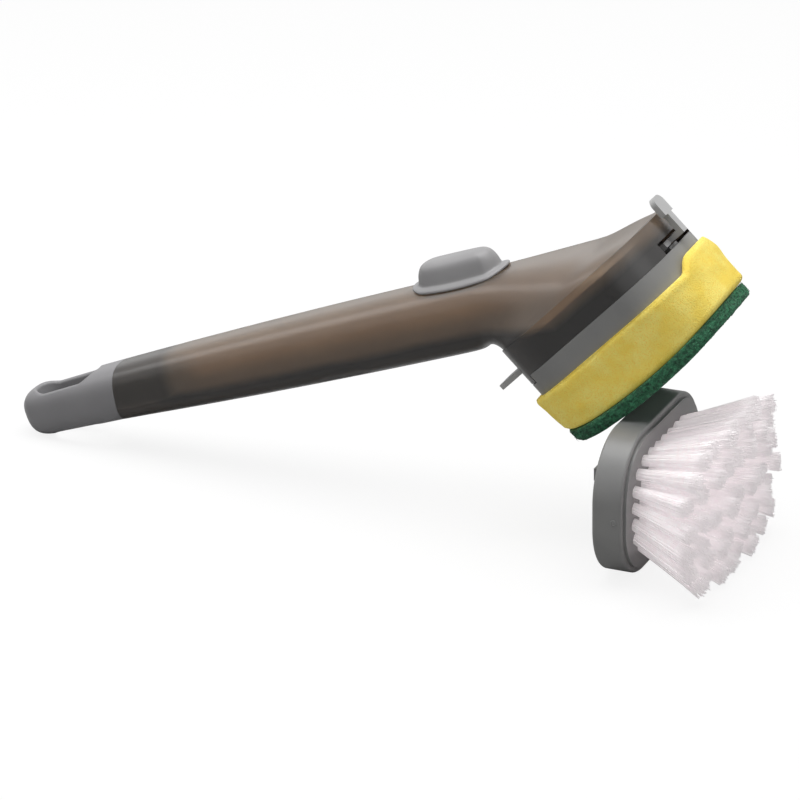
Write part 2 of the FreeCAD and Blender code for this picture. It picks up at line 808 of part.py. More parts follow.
def build_sponge():
    levels = [(share, size("spongeDrawIn") * pull_share) for share, pull_share in sponge_shares]
    ahead, aside = size("spongeProud"), size("spongeSide")
    block = layered(-size("plateThickness"), size("spongeThickness"), ahead, aside, levels)
    block = block.common(crown(-size("plateThickness + spongeThickness")))
    return block.fuse(end_lip()).removeSplitter()


def build_scour_pad():
    joint = -size("plateThickness + spongeThickness")
    start = joint + size("padStart")
    levels = [(share, size("padRound") * round_share) for share, round_share in pad_shares]
    proud = size("padProud")
    block = layered(start, size("padStart + padThickness"), proud, proud, levels)
    return block.common(crown(joint - size("padThickness"))).cut(crown(joint))


# share of the thickness, share of the drawing in or rounding
sponge_shares = ((0.0, 0.0), (0.5, 0.55), (1.0, 1.0))
pad_shares = ((0.0, 0.0), (0.6, 0.1), (1.0, 1.0))


# brush head

outer_tufts = 26
middle_tufts = 18
ragged_turns = 2.4
rest_share = 0.8


def row_places(inset, count):
    # even places round the plate's outline, drawn in
    wire = outline(
        size("headHalfLength") - inset,
        size("headHalfWidth") - inset,
        size("headCorner") - inset,
        -size("brushThickness"),
    )
    return wire.discretize(Number=count + 1)[:-1]


def tuft_places():
    inset = size("outerRowInset")
    step = size("rowStep")
    # the middle line holds as many whole steps as fit between the ends of the row round it
    reach = size("headHalfLength") - inset - 2 * step
    gaps = max(round(2 * reach / step), 1)
    centre = []
    for number in range(gaps + 1):
        centre.append(vector(reach * (2 * number / gaps - 1), 0, -size("brushThickness")))
    return {
        "outer": row_places(inset, outer_tufts),
        "middle": row_places(inset + step, middle_tufts),
        "centre": centre,
    }


def tuft_direction(place):
    # the tufts fan out, less so where the lowest row presses on the table
    across = place.x / size("headHalfLength - outerRowInset")
    up = place.y / size("headHalfWidth - outerRowInset")
    up_splay = size("splayUp") if up > 0 else size("splayDown")
    end_splay = size("splayNear") if across > 0 else size("splayFar")
    lean_x = math.tan(math.radians(end_splay)) * across
    lean_y = math.tan(math.radians(up_splay)) * up
    return vector(lean_x, lean_y, -1).normalize()


def tuft(place, number):
    direction = tuft_direction(place)
    length = size("tuftLength") + size("tuftRagged") * math.sin(ragged_turns * number)
    root = size("tuftRoot")
    growth = size("tuftTipRadius - tuftRadius") / length
    root_radius = size("tuftRadius") - growth * root
    start = place - direction * root
    return Part.makeCone(root_radius, size("tuftTipRadius"), root + length, start, direction)


def tuft_hole(place):
    direction = tuft_direction(place)
    depth = size("tuftRoot + anchorHeight")
    radius = size("tuftRadius + closeGap")
    return Part.makeCylinder(radius, depth + size("overrun"), place - direction * depth, direction)


def tuft_anchor(place):
    direction = tuft_direction(place)
    half = size("tuftRadius") * anchor_share
    flat = size("anchorThickness")
    tall = size("anchorHeight - closeGap")
    staple = Part.makeBox(2 * half, flat, tall, vector(-half, -flat / 2, 0))
    turn = FreeCAD.Rotation(axis_z, direction)
    staple.Placement = FreeCAD.Placement(place - direction * size("tuftRoot + anchorHeight"), turn)
    return staple


anchor_share = 0.9


def build_brush_plate(places):
    body = new_body("brush_blank")
    slab(body, "plate", "-(brushThickness - faceStep)", "brushThickness - faceStep",
         ("rounded", "headHalfLength", "headHalfWidth", "headCorner"))
    rims = flat_edges(body.Tip.Shape, 0) + flat_edges(body.Tip.Shape, -size("brushThickness - faceStep"))
    round_edges(body, "rim_round", body.Tip, rims, "plateRound")
    inset = "(faceInset + plateRound)"
    slab(body, "face", "-brushThickness", "faceStep",
         ("rounded", "headHalfLength - " + inset, "headHalfWidth - " + inset, "headCorner - " + inset))
    add_mount(body, "brushThickness - brushFloor")
    holes = [tuft_hole(place) for place in places]
    return body.Shape.cut(holes)


def build_brush_head():
    rows = tuft_places()
    everywhere = [place for row in rows.values() for place in row]
    feature("brush_plate", build_brush_plate(everywhere), "brush")
    rest_level = -size("headHalfWidth - outerRowInset") * rest_share
    groups = {"tufts_rest": [], "tufts_outer": [], "tufts_middle": [], "tufts_centre": []}
    for row_name, row in rows.items():
        for number, place in enumerate(row):
            rests = row_name == "outer" and place.y < rest_level
            group = "tufts_rest" if rests else "tufts_" + row_name
            groups[group].append(tuft(place, number))
    for name, tufts in groups.items():
        feature(name, Part.makeCompound(tufts), "brush")
    feature("tuft_anchors", Part.makeCompound([tuft_anchor(place) for place in everywhere]), "brush")


# all the pieces

feature("handle_shell", build_handle_shell(), "handle")
feature("tail_cap", build_tail_cap(), "handle")
ring, ring_place = build_cap_ring()
keep("cap_o_ring", ring, "handle", ring_place)
feature("pump_grommet", build_grommet(), "handle")
feature("pump_dome", build_dome(), "handle")
keep("head_base", build_head_base(), "head")
keep("soap_valve", build_valve(), "head")
keep("valve_retainer", build_retainer(), "head")
keep("nozzle_seal", build_seal(), "head")
keep("eject_slide", build_eject_slide(), "head")
keep("sponge_plate", build_sponge_plate(), "sponge")
feature("sponge_block", build_sponge(), "sponge")
feature("scour_pad", build_scour_pad(), "sponge")
build_brush_head()
doc.recompute()


# the arrangement on the table

def lowest(names, place):
    levels = []
    for name in names:
        shape = parts[name].Shape.copy()
        shape.Placement = place
        levels.append(shape.optimalBoundingBox().ZMin)
    return min(levels)


def stand_brush(pad):
    # the brush head stands on its long side and on its lowest tufts, and its top edge meets the scouring face
    rest = parts["tufts_rest"].Shape.optimalBoundingBox()
    drop = -size("headHalfWidth") - rest.YMin
    lean = math.degrees(math.atan2(drop, -rest.ZMin))
    upright = FreeCAD.Rotation(vector(0, -1, 0), axis_z, vector(-1, 0, 0), "ZXY")
    turn = turned(axis_z, size("brushYaw")) * turned(axis_y, -lean) * upright
    place = FreeCAD.Placement(vector(pad.BoundBox.XMax, size("brushSide"), 0), turn)
    place.Base.z = -lowest(("brush_plate", "tufts_rest"), place)
    facing = math.sin(math.radians(size("handleIncline + headTilt")))
    blank = doc.getObject("brush_blank").Shape.copy()
    for step in range(contact_steps):
        blank.Placement = place
        place.Base.x -= (blank.distToShape(pad)[0] - size("padContact")) / facing
    return place


contact_steps = 6


def arrange():
    wand = FreeCAD.Placement(vector(0, 0, 0), turned(axis_y, -size("handleIncline")))
    wand.Base.z = -lowest(("tail_cap",), wand)
    head = wand.multiply(head_in_handle)
    sponge = head.multiply(FreeCAD.Placement(vector(0, 0, -size("closeGap")), FreeCAD.Rotation()))
    pad = parts["scour_pad"].Shape.copy()
    pad.Placement = sponge
    return {"handle": wand, "head": head, "sponge": sponge, "brush": stand_brush(pad)}


def place_all(shift):
    for name, piece in parts.items():
        frame_name, local = frames[name]
        piece.Placement = shift.multiply(spots[frame_name]).multiply(local)


spots = arrange()
place_all(FreeCAD.Placement())
box = FreeCAD.BoundBox()
for piece in parts.values():
    box.add(piece.Shape.optimalBoundingBox())
place_all(FreeCAD.Placement(vector(-box.Center.x, -box.Center.y, -box.ZMin), FreeCAD.Rotation()))
doc.recompute()


# checks and files

for thing in doc.Objects:
    if "Invalid" in thing.State or "Error" in thing.State:
        raise RuntimeError("failed object: " + thing.Label)
for name, piece in parts.items():
    if piece.Shape.isNull() or not piece.Shape.isValid():
        raise RuntimeError("bad shape: " + name)
os.makedirs("parts", exist_ok=True)
for name, piece in parts.items():
    piece.Shape.exportStep("parts/%s.step" % name)
    print("%s: %d solids, %.1f cubic mm" % (name, len(piece.Shape.Solids), piece.Shape.Volume))
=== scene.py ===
import math

import bpy
import numpy as np
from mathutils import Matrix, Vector


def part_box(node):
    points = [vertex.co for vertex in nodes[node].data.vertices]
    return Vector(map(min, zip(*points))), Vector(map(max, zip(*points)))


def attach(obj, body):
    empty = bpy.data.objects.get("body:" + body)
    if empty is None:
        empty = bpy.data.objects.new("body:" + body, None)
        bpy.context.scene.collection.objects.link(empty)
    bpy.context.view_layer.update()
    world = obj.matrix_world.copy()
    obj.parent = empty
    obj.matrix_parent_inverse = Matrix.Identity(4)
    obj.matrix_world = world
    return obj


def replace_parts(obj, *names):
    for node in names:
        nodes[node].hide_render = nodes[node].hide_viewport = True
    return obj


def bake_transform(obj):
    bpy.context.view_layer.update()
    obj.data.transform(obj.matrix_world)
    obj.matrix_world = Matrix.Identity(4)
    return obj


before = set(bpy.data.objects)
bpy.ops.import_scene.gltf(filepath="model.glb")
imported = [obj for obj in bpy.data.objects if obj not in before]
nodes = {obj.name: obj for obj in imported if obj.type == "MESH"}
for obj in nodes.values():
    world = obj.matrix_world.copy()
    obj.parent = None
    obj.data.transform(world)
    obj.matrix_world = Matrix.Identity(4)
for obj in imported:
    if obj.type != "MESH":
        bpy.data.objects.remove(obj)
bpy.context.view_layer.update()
scene = bpy.context.scene
mm = 0.001
fullTurn = 2 * math.pi
anyTurn = 6.3  # span of a random turn, a little over a full one
print("frame loaded,", len(nodes), "nodes")

# the handle, the head and the spare brush have axes of their own, with places in mm and angles in degrees
wand = {
    "incline": 20.4,
    "headTilt": 26.1,
    "ringPlace": 52.0,
    "sealPlace": 1.15,
    "spongeGap": 0.08,
    "seamPlace": 45.0,
    "seamSlant": 11.0,
    "brushTurn": -92.7,
    "brushLean": 1.1407,
    "brushCorner": (5.9203, 38.8337, 26.475),  # its origin, from the low corner of the plate's box
}


def tiltedAxes(degrees):
    # the first axis points along the wand and is raised by the angle, the second is level
    turn = math.radians(degrees)
    return np.array([
        [math.cos(turn), 0, math.sin(turn)],
        [0, 1, 0],
        [-math.sin(turn), 0, math.cos(turn)],
    ])


def leaningAxes(turned, leaning):
    # the first axis is level and turned about the upright, the second leans off the upright
    turn, lean = math.radians(turned), math.radians(leaning)
    level = np.array([math.cos(turn), math.sin(turn), 0])
    square = np.array([math.sin(turn), -math.cos(turn), 0])
    upright = np.array([0, 0, 1])
    return np.stack([
        level,
        square * math.sin(lean) + upright * math.cos(lean),
        square * math.cos(lean) - upright * math.sin(lean),
    ])


def middleOf(node):
    low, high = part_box(node)
    return (np.array(low) + np.array(high)) / 2


handleAxes = tiltedAxes(wand["incline"])
handleOrigin = middleOf("cap_o_ring") - wand["ringPlace"] * mm * handleAxes[0]
headAxes = tiltedAxes(wand["incline"] + wand["headTilt"])
headOrigin = middleOf("nozzle_seal") - wand["sealPlace"] * mm * headAxes[2]
spongeOrigin = headOrigin - wand["spongeGap"] * mm * headAxes[2]
brushAxes = leaningAxes(wand["brushTurn"], wand["brushLean"])
brushOrigin = np.array(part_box("brush_plate")[0]) + np.array(wand["brushCorner"]) * mm


def inHandle(points):
    return handleOrigin + np.asarray(points) * mm @ handleAxes


def inSponge(points):
    return spongeOrigin + np.asarray(points) * mm @ headAxes


def inBrush(points):
    return brushOrigin + np.asarray(points) * mm @ brushAxes


def newPiece(name, points, faces, material, smooth=True):
    mesh = bpy.data.meshes.new(name)
    mesh.from_pydata(np.asarray(points).reshape(-1, 3).tolist(), [], faces)
    mesh.polygons.foreach_set("use_smooth", np.full(len(mesh.polygons), smooth))
    mesh.materials.append(material)
    piece = bpy.data.objects.new(name, mesh)
    scene.collection.objects.link(piece)
    return piece


def ringFaces(rows, columns):
    # quads between neighbours of a grid that closes on itself along its columns, and a fan at each end
    index = np.arange(rows * columns).reshape(rows, columns)
    right = np.roll(index, -1, axis=1)
    quads = np.stack([index[:-1], right[:-1], right[1:], index[1:]], axis=-1).reshape(-1, 4)
    first, last = rows * columns, rows * columns + 1
    start = np.stack([right[0], index[0], np.full(columns, first)], axis=-1)
    end = np.stack([index[-1], right[-1], np.full(columns, last)], axis=-1)
    return quads.tolist() + start.tolist() + end.tolist()


def closedForm(name, grid, material):
    # rings of points, one row after the other, shut by the middles of the first and the last ring
    rows, columns = grid.shape[:2]
    points = np.concatenate([grid.reshape(-1, 3), [grid[0].mean(0)], [grid[-1].mean(0)]])
    faces = ringFaces(rows, columns)
    corners = points[np.array(faces[:(rows - 1) * columns])]
    across = np.cross(corners[:, 1] - corners[:, 0], corners[:, 3] - corners[:, 0])
    if (across * (corners.mean(1) - points.mean(0))).sum() < 0:
        faces = [face[::-1] for face in faces]  # they pointed inwards
    return newPiece(name, points, faces, material)


def smoother(piece, levels):
    finish = piece.modifiers.new("soft", "SUBSURF")
    finish.levels = levels
    finish.render_levels = levels
    return piece


def evenOutline(halfLength, halfWidth, corner, count, arcPoints=481):
    # four quarter arcs joined by straight runs, then points at even steps along the whole line
    turn = np.linspace(0, fullTurn, arcPoints)
    arc = np.stack([np.cos(turn), np.sin(turn)], 1)
    line = np.sign(arc) * np.array([halfLength - corner, halfWidth - corner]) + corner * arc
    line = np.concatenate([line, line[:1]])
    run = np.concatenate([[0], np.cumsum(np.hypot(*np.diff(line, axis=0).T))])
    steps = np.linspace(0, run[-1], count, endpoint=False)
    return np.stack([np.interp(steps, run, line[:, 0]), np.interp(steps, run, line[:, 1])], 1)


def ripple(points, size, seed, octaves=3, waves=4):
    # a sum of slanted waves, each octave half as long and half as high, from -1 to 1 or so
    pick = np.random.default_rng(seed)
    total = np.zeros(points.shape[:-1])
    for octave in np.repeat(np.arange(octaves), waves):
        way = pick.normal(size=3)
        way *= fullTurn * 2.0 ** octave / size / np.linalg.norm(way)
        total += np.sin(points @ way + pick.uniform(0, anyTurn)) * 0.5 ** octave / waves
    return total


# a node's socket that takes part in sums
class Link:
    def __init__(self, tree, socket):
        self.tree = tree
        self.socket = socket

    def make(self, kind, settings, values, output=0):
        node = self.tree.nodes.new(kind)
        for key, value in settings.items():
            setattr(node, key, value)
        for key, value in values.items():
            if isinstance(value, Link):
                self.tree.links.new(value.socket, node.inputs[key])
            else:
                node.inputs[key].default_value = value
        return Link(self.tree, node.outputs[output])

    def maths(self, operation, first, second):
        return self.make("ShaderNodeMath", {"operation": operation}, {0: first, 1: second})

    def __add__(self, other):
        return self.maths("ADD", self, other)

    def __sub__(self, other):
        return self.maths("SUBTRACT", self, other)

    def __rsub__(self, other):
        return self.maths("SUBTRACT", other, self)

    def __mul__(self, other):
        return self.maths("MULTIPLY", self, other)

    __radd__ = __add__
    __rmul__ = __mul__

    def most(self, other):
        return self.maths("MAXIMUM", self, other)

    def noise(self, size, detail=3.0, roughness=0.5):
        # size is the width of one patch, in mm
        values = {"Vector": self, "Scale": 1 / (size * mm), "Detail": detail, "Roughness": roughness}
        return self.make("ShaderNodeTexNoise", {}, values, "Fac")

    def cells(self, size):
        values = {"Vector": self, "Scale": 1 / (size * mm)}
        return self.make("ShaderNodeTexVoronoi", {}, values, "Distance")

    def along(self, origin, way):
        # distance from a point along a direction, in mm
        offset = self.make("ShaderNodeVectorMath", {"operation": "SUBTRACT"}, {0: self, 1: tuple(origin)})
        values = {0: offset, 1: tuple(np.asarray(way) / mm)}
        return self.make("ShaderNodeVectorMath", {"operation": "DOT_PRODUCT"}, values, "Value")

    def between(self, low, high):
        # 0 at low and 1 at high, eased at both ends
        settings = {"clamp": True, "interpolation_type": "SMOOTHSTEP"}
        return self.make("ShaderNodeMapRange", settings, {"Value": self, "From Min": low, "From Max": high})

    def blend(self, first, second):
        # inputs 6 and 7 and output 2 are the Mix node's colours
        return self.make("ShaderNodeMix", {"data_type": "RGBA"}, {0: self, 6: first, 7: second}, 2)


def colour(red, green, blue):
    # an sRGB colour as the linear one that a shader takes
    parts = [value / 255 for value in (red, green, blue)]
    return tuple(((p + 0.055) / 1.055) ** 2.4 if p > 0.04 else p / 12.92 for p in parts) + (1.0,)


# a principled material with its fixed sockets set, and the object's own coordinates at hand
class Finish:
    def __init__(self, name, fixed):
        self.material = bpy.data.materials.new(name)
        self.material.use_nodes = True
        tree = self.material.node_tree
        self.shader = tree.nodes["Principled BSDF"]
        for key, value in fixed.items():
            self.shader.inputs[key].default_value = value
        coordinates = tree.nodes.new("ShaderNodeTexCoord")
        self.place = Link(tree, coordinates.outputs["Object"])

    def feed(self, key, link):
        link.tree.links.new(link.socket, self.shader.inputs[key])

    def bump(self, height, strength, depth):
        values = {"Height": height, "Strength": strength, "Distance": depth * mm}
        self.feed("Normal", height.make("ShaderNodeBump", {}, values, "Normal"))


noiseSpan = (0.3, 0.7)  # noise values between which one tone turns into another
plasticIndex = 1.5

# moulded plastics and rubbers
moulding = {"drift": 22.0, "grainGloss": 0.12, "driftGloss": 0.08, "bump": 0.14, "depth": 0.05}
# painted shade: the cap's plug sits inside the handle, where little light reaches, so it is coloured near
# black
plugShadeLook = {"tone": (34, 32, 31), "edge": (0.0, 0.4)}


def pastSeam(place):
    # 1 on the plug, ahead of the slanted seam
    slant = math.radians(wand["seamSlant"])
    way = handleAxes[0] * math.cos(slant) - handleAxes[2] * math.sin(slant)
    return place.along(inHandle([wand["seamPlace"], 0, 0]), way).between(*plugShadeLook["edge"])


def mouldedPlastic(name, dark, light, roughness, grain, onPlug=None):
    # fine spark-eroded grain over a slow drift of tone and gloss, with painted shade near black on a plug
    # where one is marked
    finish = Finish(name, {"IOR": plasticIndex})
    drift = finish.place.noise(moulding["drift"])
    fine = finish.place.noise(grain, detail=2)
    tone = drift.between(*noiseSpan).blend(colour(*dark), colour(*light))
    if onPlug is not None:
        # painted shade: past the seam the plastic is coloured near black
        tone = onPlug(finish.place).blend(tone, colour(*plugShadeLook["tone"]))
    finish.feed("Base Color", tone)
    gloss = roughness + (fine - 0.5) * moulding["grainGloss"] + (drift - 0.5) * moulding["driftGloss"]
    finish.feed("Roughness", gloss)
    finish.bump(fine, moulding["bump"], moulding["depth"])
    return finish.material


# darker and lighter tone, roughness and width of the grain in mm, and for the cap the mask of its plug,
# which gets painted shade
plasticLooks = {
    "grey_plastic": ((131, 131, 131), (138, 138, 137), 0.4, 0.35),
    "cap_plastic_plug_shade": ((133, 132, 134), (139, 138, 140), 0.42, 0.35, pastSeam),
    "pale_plastic": ((180, 180, 180), (188, 188, 187), 0.36, 0.35),
    "dark_plastic": ((34, 32, 30), (42, 40, 37), 0.4, 0.35),
    "seal_rubber": ((34, 34, 34), (44, 44, 44), 0.6, 0.25),
    "silicone_grey": ((144, 143, 144), (152, 151, 152), 0.46, 0.2),
}
plastics = {name: mouldedPlastic(name, *look) for name, look in plasticLooks.items()}

# smoke: the handle's frosted plastic
smoke = {
    "clear": ((160, 138, 116), (172, 150, 127)),
    # painted shade: the near-black tone laid over the plug and over the head's dark base
    "dark": (43, 35, 28),
    "transmission": 0.9,
    "roughness": 0.34,
    "frostGloss": 0.12,
    "coat": 0.6,
    "coatRoughness": 0.26,
    "cloud": 30.0,
    "frost": 0.5,
    "bump": 0.1,
    "depth": 0.05,
    "baseLevel": 7.0,  # painted shade, laid over the dark base behind the wall, reaches up to here, and higher toward the lower end
    "baseSlope": 0.5,
    "baseStart": 4.0,
    "baseWaver": 3.0,
    "baseEdge": (-2.5, 2.0),
    "plugReach": 28.0,
    "plugEdge": (-1.0, 7.0),
    "plugShade": 0.85,
}


def smokeFinish():
    # brown that blurs what lies behind it, with painted shade near black over the plug and over the head's
    # dark base
    finish = Finish("smoke_plastic", {
        "IOR": plasticIndex,
        "Transmission Weight": smoke["transmission"],
        "Coat Weight": smoke["coat"],
        "Coat Roughness": smoke["coatRoughness"],
    })
    cloud = finish.place.noise(smoke["cloud"])
    frost = finish.place.noise(smoke["frost"])
    level = finish.place.along(headOrigin, headAxes[2])
    run = finish.place.along(headOrigin, headAxes[0])
    # painted shade over the head's dark base, climbing toward the lower end, and over the plug
    slope = (run * -smoke["baseSlope"] - smoke["baseStart"]).most(0.0)
    border = smoke["baseLevel"] + slope + (cloud - 0.5) * smoke["baseWaver"]
    baseShadeMask = (border - level).between(*smoke["baseEdge"])
    ahead = finish.place.along(inHandle([wand["seamPlace"], 0, 0]), handleAxes[0])
    plugShadeMask = (smoke["plugReach"] - ahead).between(*smoke["plugEdge"]) * smoke["plugShade"]
    thin, thick = smoke["clear"]
    clear = cloud.between(*noiseSpan).blend(colour(*thin), colour(*thick))
    finish.feed("Base Color", baseShadeMask.most(plugShadeMask).blend(clear, colour(*smoke["dark"])))
    finish.feed("Roughness", smoke["roughness"] + (frost - 0.5) * smoke["frostGloss"])
    finish.bump(frost, smoke["bump"], smoke["depth"])
    return finish.material


# foam, scouring felt, nylon and wire
foamLook = {
    "skin": ((246, 218, 98), (252, 232, 126)),
    "deep": (238, 206, 84),
    # strength of the glow of painted light
    "glow": 0.13,
    "cell": 0.6,
    "cellEdge": (0.05, 0.6),
    "cellShare": 0.4,
    "grain": 0.5,
    "cloud": 8.0,
    "skinSpan": (0.3, 0.95),
    "bump": 0.5,
    "depth": 0.7,
}


def foamFinish():
    # fine open cells: small soft pits over a slow drift of tone, and a faint glow of painted light that
    # stands in for light that soaks in
    finish = Finish("foam_yellow", {"Roughness": 0.95, "IOR": 1.3, "Emission Strength": foamLook["glow"]})
    pit = finish.place.cells(foamLook["cell"]).between(*foamLook["cellEdge"])
    grain = finish.place.noise(foamLook["grain"], detail=4, roughness=0.65)
    cloud = finish.place.noise(foamLook["cloud"], detail=4)
    yellow, pale = foamLook["skin"]
    skin = cloud.between(*noiseSpan).blend(colour(*yellow), colour(*pale))
    relief = pit * foamLook["cellShare"] + grain
    # painted shade: the pits and the low grain take the darker deep tone
    tone = relief.between(*foamLook["skinSpan"]).blend(colour(*foamLook["deep"]), skin)
    finish.feed("Base Color", tone)
    # painted light: the foam glows in its own tone
    finish.feed("Emission Color", tone)
    finish.bump(relief, foamLook["bump"], foamLook["depth"])
    return finish.material


feltLook = {
    "tones": ((22, 66, 44), (62, 134, 96)),
    "toneSpan": (0.34, 0.68),
    "gritTone": (88, 150, 112),
    "gritEdge": (0.0, 0.2),
    "gritShare": 0.3,
    "tangle": 1.5,
    "grit": 0.8,
    "roughness": 0.7,
    "tangleGloss": 0.3,
    "bump": 0.8,
    "depth": 1.0,
}


def scourFinish():
    # a felt of stiff fibres with grains of grit
    finish = Finish("scour_green", {"IOR": 1.45})
    tangle = finish.place.noise(feltLook["tangle"], detail=5, roughness=0.7)
    grit = finish.place.cells(feltLook["grit"])
    deep, light = feltLook["tones"]
    shade = tangle.between(*feltLook["toneSpan"]).blend(colour(*deep), colour(*light))
    onGrit = grit.between(*feltLook["gritEdge"])
    finish.feed("Base Color", onGrit.blend(colour(*feltLook["gritTone"]), shade))
    finish.feed("Roughness", feltLook["roughness"] + (tangle - 0.5) * feltLook["tangleGloss"])
    finish.bump(tangle + grit * feltLook["gritShare"], feltLook["bump"], feltLook["depth"])
    return finish.material


# glow is the strength of painted light, an emission in the nylon's own tone
nylonLook = {"tones": ((246, 240, 242), (252, 248, 249)), "streak": 2.4, "roughness": 0.42, "glow": 0.19}


def bristleFinish():
    # milky nylon, with a faint glow of painted light that stands in for the light that the bundles pass on
    finish = Finish("bristle_white", {
        "IOR": plasticIndex,
        "Roughness": nylonLook["roughness"],
        "Transmission Weight": 0.15,
        "Emission Strength": nylonLook["glow"],
    })
    streak = finish.place.noise(nylonLook["streak"], detail=2)
    dull, bright = nylonLook["tones"]
    milk = streak.between(*noiseSpan).blend(colour(*dull), colour(*bright))
    finish.feed("Base Color", milk)
    # painted light: the nylon glows in its own tone
    finish.feed("Emission Color", milk)
    return finish.material


wireLook = {"tones": ((170, 170, 168), (205, 204, 202)), "drawn": 0.6, "roughness": 0.3, "drawnGloss": 0.2}


def wireFinish():
    # bare metal with the drift of tone and gloss that drawing leaves
    finish = Finish("anchor_wire", {"Metallic": 1.0})
    drawn = finish.place.noise(wireLook["drawn"], detail=2)
    dull, bright = wireLook["tones"]
    finish.feed("Base Color", drawn.blend(colour(*dull), colour(*bright)))
    finish.feed("Roughness", wireLook["roughness"] + drawn * wireLook["drawnGloss"])
    return finish.material


foamYellow = foamFinish()
scourGreen = scourFinish()
bristleWhite = bristleFinish()
cadFinishes = {
    "handle_shell": smokeFinish(),
    "tail_cap": plastics["cap_plastic_plug_shade"],
    "cap_o_ring": plastics["seal_rubber"],
    "head_base": plastics["dark_plastic"],
    "soap_valve": plastics["seal_rubber"],
    "valve_retainer": plastics["dark_plastic"],
    "nozzle_seal": plastics["seal_rubber"],
    "eject_slide": plastics["pale_plastic"],
    "sponge_plate": plastics["grey_plastic"],
    "brush_plate": plastics["grey_plastic"],
    "tuft_anchors": wireFinish(),
}
for name, material in cadFinishes.items():
    nodes[name].data.materials.clear()
    nodes[name].data.materials.append(material)
print("finishes made")

# pump button: one silicone skin from the thin rim on the handle to the crown of the dome
button = {
    "place": 194.0,
    "halfHeight": 13.45,
    "sideShare": 0.98,
    "power": 3.0,
    "around": 72,
    "endPush": 2.2,  # how soon a ring's ends are pushed out
    "wave": 0.16,
    "waves": 3,
    "waveStart": 0.6,
    "rim": (0.15, 1.3),  # heights between which the rim waves
    "bend": (14.0, 21.2),  # heights between which the real skin bends when the dome goes down
    # length, width and height of each ring, with 1 where the height is counted from the handle's skin
    "rings": (
        (29.0, 11.0, 10.0, 0),
        (34.4, 16.4, 10.0, 0),
        (34.4, 16.4, -0.4, 1),
        (37.4, 18.8, 0.08, 1),
        (38.0, 19.5, 0.2, 1),
        (38.2, 19.7, 0.6, 1),
        (37.9, 19.4, 1.0, 1),
        (36.8, 18.4, 1.15, 1),
        (34.6, 16.6, 1.2, 1),
        (33.2, 15.5, 1.35, 1),
        (32.4, 14.9, 1.8, 1),
        (31.9, 14.5, 3.0, 1),
        (31.0, 13.8, 4.6, 1),
        (29.8, 13.0, 19.2, 0),
        (28.0, 11.6, 20.6, 0),
        (25.4, 9.4, 21.5, 0),
        (21.4, 6.6, 22.0, 0),
        (16.0, 3.4, 22.2, 0),
    ),
}


def handleTop(across):
    # height of the grip's skin over its axis: shares of half width and half height, to the power, add to 1
    side = np.clip(np.abs(across) / (button["halfHeight"] * button["sideShare"]), 0, 1)
    return button["halfHeight"] * (1 - side ** button["power"]) ** (1 / button["power"])


def pumpButton():
    # each ring is a stadium: a half circle pushed out at both ends
    length, width, height, onSkin = (column[:, None] for column in np.array(button["rings"]).T)
    turn = np.linspace(0, fullTurn, button["around"], endpoint=False)
    across = width / 2 * np.sin(turn)
    push = np.clip(np.cos(turn) * button["endPush"], -1, 1)
    along = (length - width) / 2 * push + width / 2 * np.cos(turn)
    low, high = button["rim"]
    onRim = (onSkin > 0) & (height > low) & (height < high)
    level = height + np.where(onSkin > 0, handleTop(across), 0)
    level = level + onRim * button["wave"] * (1 + np.sin(button["waves"] * turn + button["waveStart"]))
    grid = np.stack([button["place"] + along, across, level], axis=-1)
    return closedForm("pump_button_skin", inHandle(grid), plastics["silicone_grey"])


pumpSkin = smoother(pumpButton(), 2)
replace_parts(pumpSkin, "pump_dome", "pump_grommet")
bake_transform(pumpSkin)
print("pump button made")

# sponge: foam drawn in at the waist, welling up round the plate's upper end, bowed below
sponge = {
    "plate": (38.4, 26.5),
    "corner": 22.0,
    "room": 0.35,
    "top": -8.5,
    "bottom": -27.7,
    "ahead": 3.5,
    "aside": 1.2,
    "drawIn": 2.0,
    "drawShares": (0.55, 0.45),  # how much of it the upper and the lower half take
    "straight": 0.75,  # how much of it the upper end is spared
    "bow": 240.0,
    "bowPlace": 5.0,
    "crest": 0.1,
    "lip": 4.4,
    "lipRun": (2.8, 0.1),  # where it starts to rise and is full, before the end
    "well": (0.35, 0.8, 1.0),  # rings under the plate, as shares of its outline
    "rim": ((0.0, 0.9), (0.3, 0.15), (0.75, 0.05)),  # share of the way out, and depth under the crest
    "sideRings": 22,
    "sideSpan": (0.01, 0.98),
    "upperRound": (0.12, 0.9),  # share of the side's height that is rounded, and how deep
    "lowerRound": (0.07, 0.8),
    "under": (0.93, 0.7, 0.35),  # rings of the lower face, as shares of its outline
    "around": 220,
    "waver": 0.28,
    "waverSize": 14.0,
    "seed": 3,
}


def bowed(level, along):
    # a face bent round a wide roller
    return level + (along - sponge["bowPlace"]) ** 2 / (2 * sponge["bow"])


def spongeOutline(ahead, aside, corner):
    # the plate's outline, grown in length and in width
    length, width = sponge["plate"]
    return evenOutline(length + ahead, width + aside, corner, sponge["around"])


def outwardOf(outline):
    # the way out of an oval through the same place
    way = outline / np.array(sponge["plate"]) ** 2
    return way / np.linalg.norm(way, axis=1, keepdims=True)


